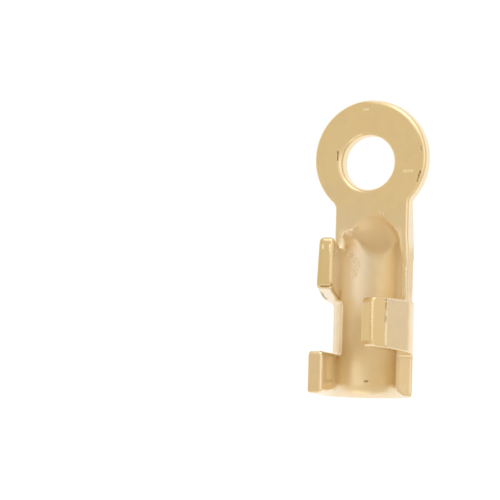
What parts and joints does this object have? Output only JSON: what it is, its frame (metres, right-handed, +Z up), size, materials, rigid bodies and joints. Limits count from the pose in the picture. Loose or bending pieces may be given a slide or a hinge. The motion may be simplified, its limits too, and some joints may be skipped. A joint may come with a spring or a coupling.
{
  "type": "cord end clamp",
  "caption": "Small stamped cord end clamp: a flat eye for a jump ring, an open channel for the cord's end, and tabs that fold over it.",
  "frame": {"origin": "on the surface that the clamp lies on, under the middle of its bounding box", "axes": "+Z up; +Y along the clamp, from the channel's open end to the eye; the clamp lies on the back of its channel, rolled 20 degrees to its left, so the eye's face and the tabs look up and towards -X"},
  "size_m": [0.0034, 0.0088, 0.0034],
  "materials": {
    "gilt_brass": "gold-plated, tumble-polished"
  },
  "bodies": {
    "root": {"clamp_body": "gilt_brass"}
  },
  "joints": []
}
